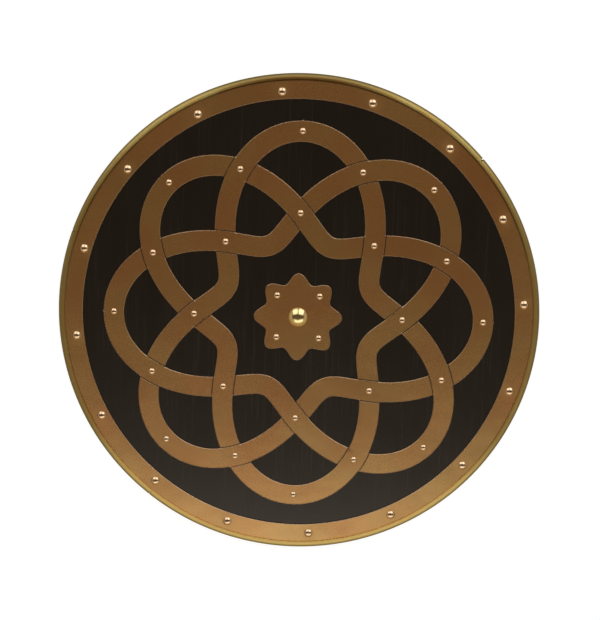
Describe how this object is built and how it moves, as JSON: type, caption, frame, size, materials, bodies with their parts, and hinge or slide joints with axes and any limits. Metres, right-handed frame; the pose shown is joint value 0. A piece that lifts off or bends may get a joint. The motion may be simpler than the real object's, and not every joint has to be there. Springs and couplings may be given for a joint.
{
  "type": "viking shield",
  "caption": "Round flat wooden shield, black faced, with a bronze rim band, an interlaced bronze ring and rosette, rolled brass edging and domed brass nails; it lies face up.",
  "frame": {"origin": "on the shield's axis, in the plane that the edging's back rests on", "axes": "+Z out of the face, +Y towards the top of the picture, +X towards its right"},
  "size_m": [0.61, 0.61, 0.0192],
  "materials": {
    "black_wood": "black stain under a thin satin varnish, faint upright grain, a few scuffs",
    "bronze_sheet": "brown bronze sheet, brushed satin with a mottled tarnish",
    "brass_edging": "polished brass, lightly tarnished",
    "brass_nail": "polished brass, bright"
  },
  "bodies": {
    "root": {"board": "black_wood", "rim_band": "bronze_sheet", "interlaced_ring": "bronze_sheet", "rosette": "bronze_sheet", "edging_upper": "brass_edging", "edging_left": "brass_edging", "edging_lower": "brass_edging", "rim_nail_1": "brass_nail", "rim_nail_2": "brass_nail", "rim_nail_3": "brass_nail", "rim_nail_4": "brass_nail", "rim_nail_5": "brass_nail", "rim_nail_6": "brass_nail", "rim_nail_7": "brass_nail", "rim_nail_8": "brass_nail", "rim_nail_9": "brass_nail", "rim_nail_10": "brass_nail", "rim_nail_11": "brass_nail", "rim_nail_12": "brass_nail", "rim_nail_13": "brass_nail", "rim_nail_14": "brass_nail", "rim_nail_15": "brass_nail", "rim_nail_16": "brass_nail", "loop_nail_1": "brass_nail", "loop_nail_2": "brass_nail", "loop_nail_3": "brass_nail", "loop_nail_4": "brass_nail", "loop_nail_5": "brass_nail", "loop_nail_6": "brass_nail", "loop_nail_7": "brass_nail", "loop_nail_8": "brass_nail", "outer_crossing_nail_1": "brass_nail", "outer_crossing_nail_2": "brass_nail", "outer_crossing_nail_3": "brass_nail", "outer_crossing_nail_4": "brass_nail", "outer_crossing_nail_5": "brass_nail", "outer_crossing_nail_6": "brass_nail", "outer_crossing_nail_7": "brass_nail", "outer_crossing_nail_8": "brass_nail", "inner_crossing_nail_1": "brass_nail", "inner_crossing_nail_2": "brass_nail", "inner_crossing_nail_3": "brass_nail", "inner_crossing_nail_4": "brass_nail", "inner_crossing_nail_5": "brass_nail", "inner_crossing_nail_6": "brass_nail", "inner_crossing_nail_7": "brass_nail", "inner_crossing_nail_8": "brass_nail", "centre_nail": "brass_nail", "rosette_nail_1": "brass_nail", "rosette_nail_2": "brass_nail", "rosette_nail_3": "brass_nail", "rosette_nail_4": "brass_nail"}
  },
  "joints": []
}
